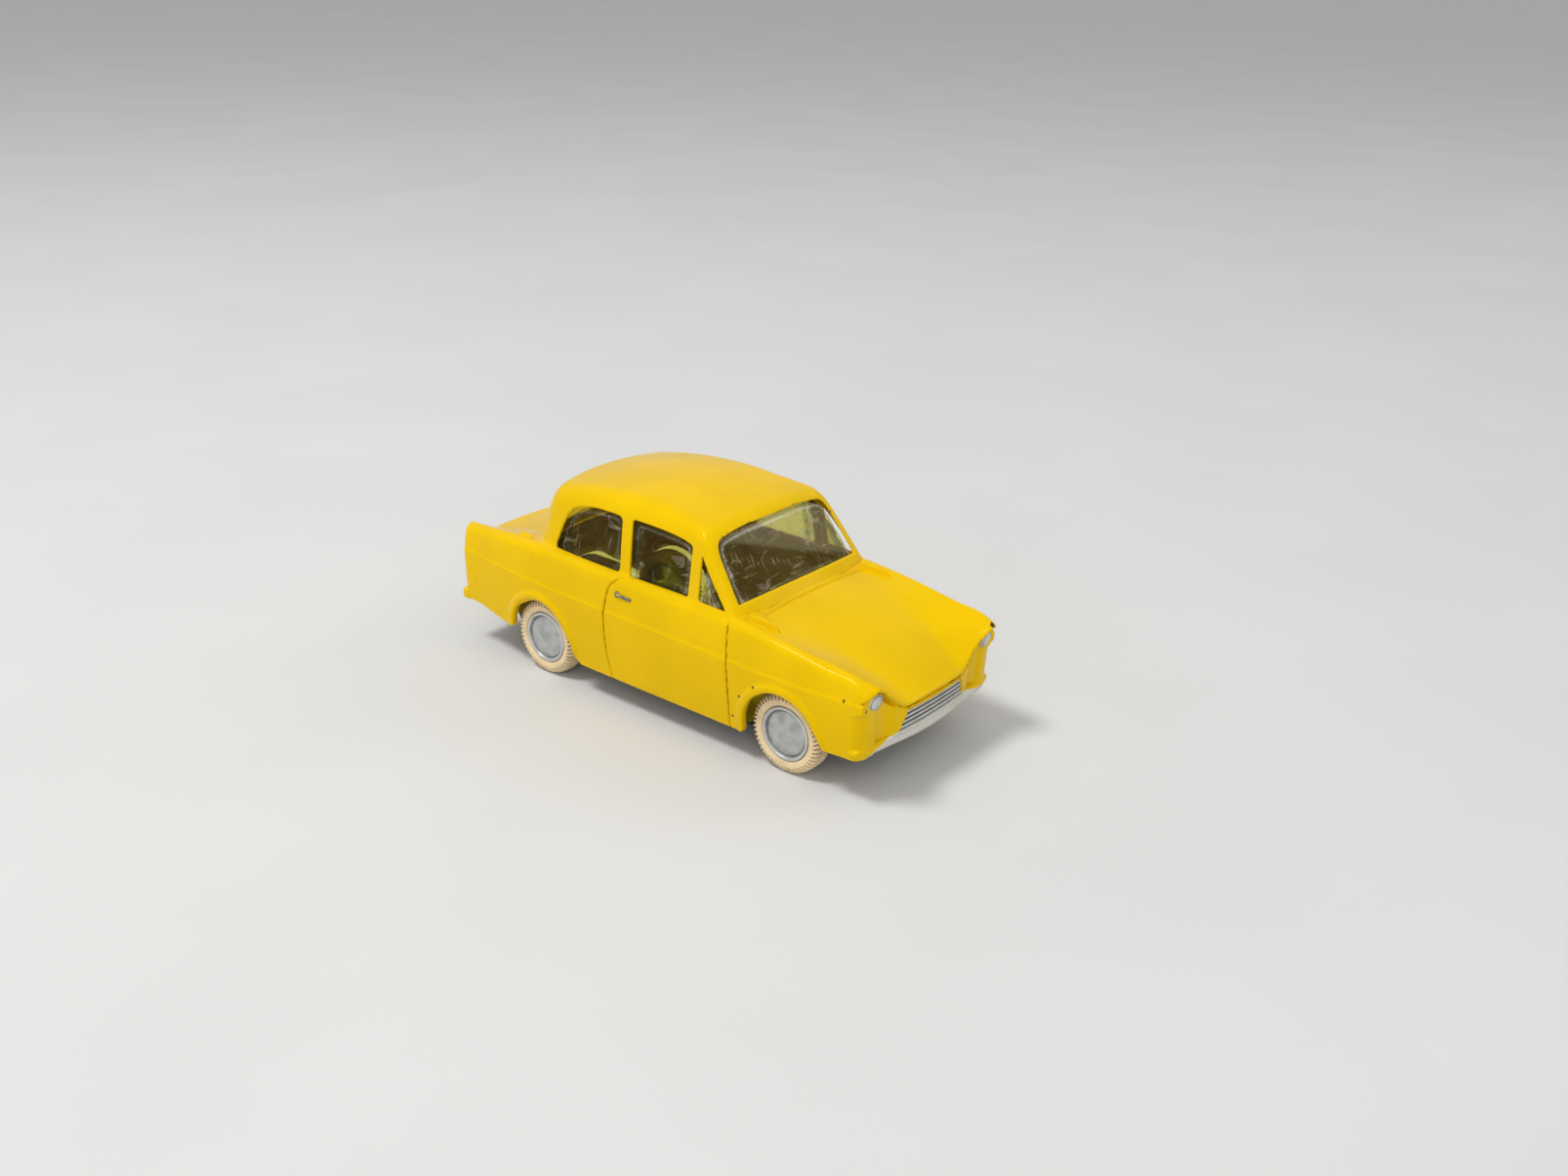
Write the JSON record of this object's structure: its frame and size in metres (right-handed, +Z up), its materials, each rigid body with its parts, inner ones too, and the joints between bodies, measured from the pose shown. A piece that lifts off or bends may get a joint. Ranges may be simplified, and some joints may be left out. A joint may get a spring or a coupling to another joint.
{
  "type": "die-cast toy car",
  "caption": "Small-scale die-cast two-door saloon with clear glazing, a riveted pressed base and wheel sets of metal hubs with cream ribbed tyres that roll freely.",
  "frame": {"origin": "on the ground plane, under the middle of the car's bounding box", "axes": "+X towards the front of the car, +Y towards its left side, +Z up"},
  "size_m": [0.0824, 0.0334, 0.0329],
  "materials": {
    "yellow_enamel": "glossy enamel with small chips",
    "clear_plastic": "clear, scratched and dusty",
    "blackened_tin": "satin black",
    "bright_metal": "plain drawn steel",
    "hub_metal": "satin, a little dull",
    "cream_rubber": "matt, slightly soiled"
  },
  "bodies": {
    "car": {"body_shell": "yellow_enamel", "window_glazing": "clear_plastic", "baseplate": "blackened_tin", "front_rivet": "bright_metal", "rear_rivet": "bright_metal"},
    "front_wheels": {"front_axle": "bright_metal", "hub_front_left": "hub_metal", "hub_front_right": "hub_metal", "tyre_front_left": "cream_rubber", "tyre_front_right": "cream_rubber"},
    "rear_wheels": {"rear_axle": "bright_metal", "hub_rear_left": "hub_metal", "hub_rear_right": "hub_metal", "tyre_rear_left": "cream_rubber", "tyre_rear_right": "cream_rubber"}
  },
  "joints": [
    {"name": "front_wheels_roll", "type": "hinge", "parent": "car", "child": "front_wheels", "pos_m": [0.0263, 0, 0.006], "axis": [0, 1, 0], "continuous": true},
    {"name": "rear_wheels_roll", "type": "hinge", "parent": "car", "child": "rear_wheels", "pos_m": [-0.0215, 0, 0.006], "axis": [0, 1, 0], "continuous": true}
  ]
}
